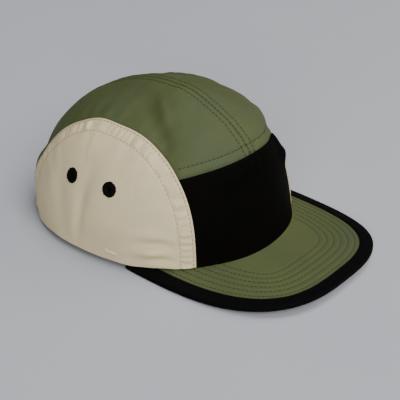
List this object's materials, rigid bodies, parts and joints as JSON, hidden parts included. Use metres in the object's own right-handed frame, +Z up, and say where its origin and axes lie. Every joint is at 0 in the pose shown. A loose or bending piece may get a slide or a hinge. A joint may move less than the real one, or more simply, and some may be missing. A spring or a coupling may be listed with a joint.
{
  "type": "five panel cap",
  "caption": "Five panel camp cap with a black front panel, olive top panels and flat bound peak, cream arched side panels with stitched eyelets, and a back strap.",
  "frame": {"origin": "bottom centre of the bounding box, on the surface that the cap rests on", "axes": "+Z up through the crown, the peak points to -Y, +X is the wearer's left"},
  "size_m": [0.169, 0.2576, 0.1046],
  "materials": {
    "black_cloth": "plain woven nylon, soft sheen",
    "olive_cloth": "plain woven nylon, faintly mottled",
    "cream_cloth": "smooth woven nylon with a satin sheen",
    "black_binding": "folded tape",
    "black_band": "brushed cotton",
    "black_thread": "embroidery thread",
    "black_webbing": "ribbed webbing",
    "black_plastic": "fine matt"
  },
  "bodies": {
    "root": {"front_panel": "black_cloth", "top_panel_right": "olive_cloth", "top_panel_left": "olive_cloth", "side_panel_right": "cream_cloth", "side_panel_left": "cream_cloth", "peak": "olive_cloth", "peak_binding": "black_binding", "sweatband": "black_band", "eyelet_right_front": "black_thread", "eyelet_right_rear": "black_thread", "eyelet_left_front": "black_thread", "eyelet_left_rear": "black_thread", "opening_binding": "black_binding", "back_strap": "black_webbing", "strap_clasp": "black_plastic"}
  },
  "joints": []
}
